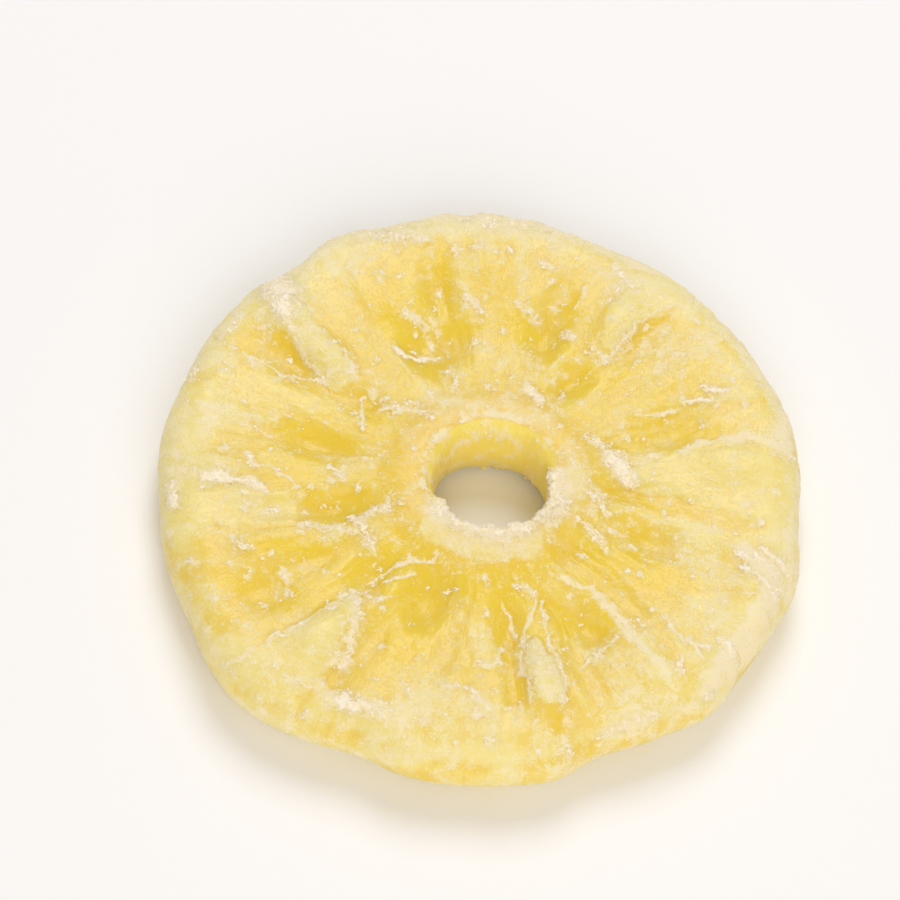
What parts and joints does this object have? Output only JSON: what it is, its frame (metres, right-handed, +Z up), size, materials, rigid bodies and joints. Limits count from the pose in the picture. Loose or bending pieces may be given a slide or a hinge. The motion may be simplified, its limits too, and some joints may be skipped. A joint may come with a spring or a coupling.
{
  "type": "pineapple ring",
  "caption": "Flat candied pineapple ring with a lumpy round rim, radial fruitlet grooves and a small round core hole, dusted with sugar.",
  "frame": {"origin": "middle of the ring's footprint, on the surface that it lies on", "axes": "+Z up out of the upper cut face; +Y runs across the ring away from the viewer of the shown side"},
  "size_m": [0.0711, 0.0715, 0.0092],
  "materials": {
    "flesh": "moist translucent candied flesh, satin"
  },
  "bodies": {
    "root": {"pineapple_ring": "flesh"}
  },
  "joints": []
}
